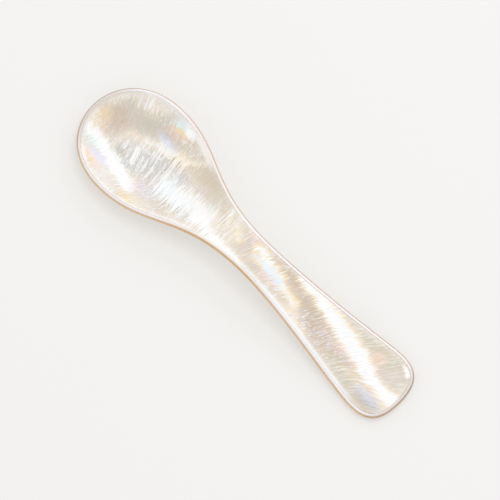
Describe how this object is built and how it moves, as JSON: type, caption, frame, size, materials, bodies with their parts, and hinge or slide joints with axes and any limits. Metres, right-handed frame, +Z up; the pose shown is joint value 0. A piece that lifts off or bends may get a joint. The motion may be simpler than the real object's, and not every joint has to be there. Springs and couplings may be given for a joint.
{
  "type": "caviar spoon",
  "caption": "Carved mother-of-pearl caviar spoon with a shallow egg-shaped bowl, a narrow arched neck and a flared, gently crowned handle, in bonded shell layers.",
  "frame": {"origin": "on the table plane, midway between bowl tip and handle end and on the spoon's middle line", "axes": "+X from bowl tip to handle end, +Z up out of the bowl, +Y across the spoon"},
  "size_m": [0.11, 0.0298, 0.0092],
  "materials": {
    "nacre_face": "polished",
    "nacre_core": "polished",
    "tan_back": "polished"
  },
  "bodies": {
    "root": {"nacre_face": "nacre_face", "nacre_core": "nacre_core", "tan_back": "tan_back"}
  },
  "joints": []
}
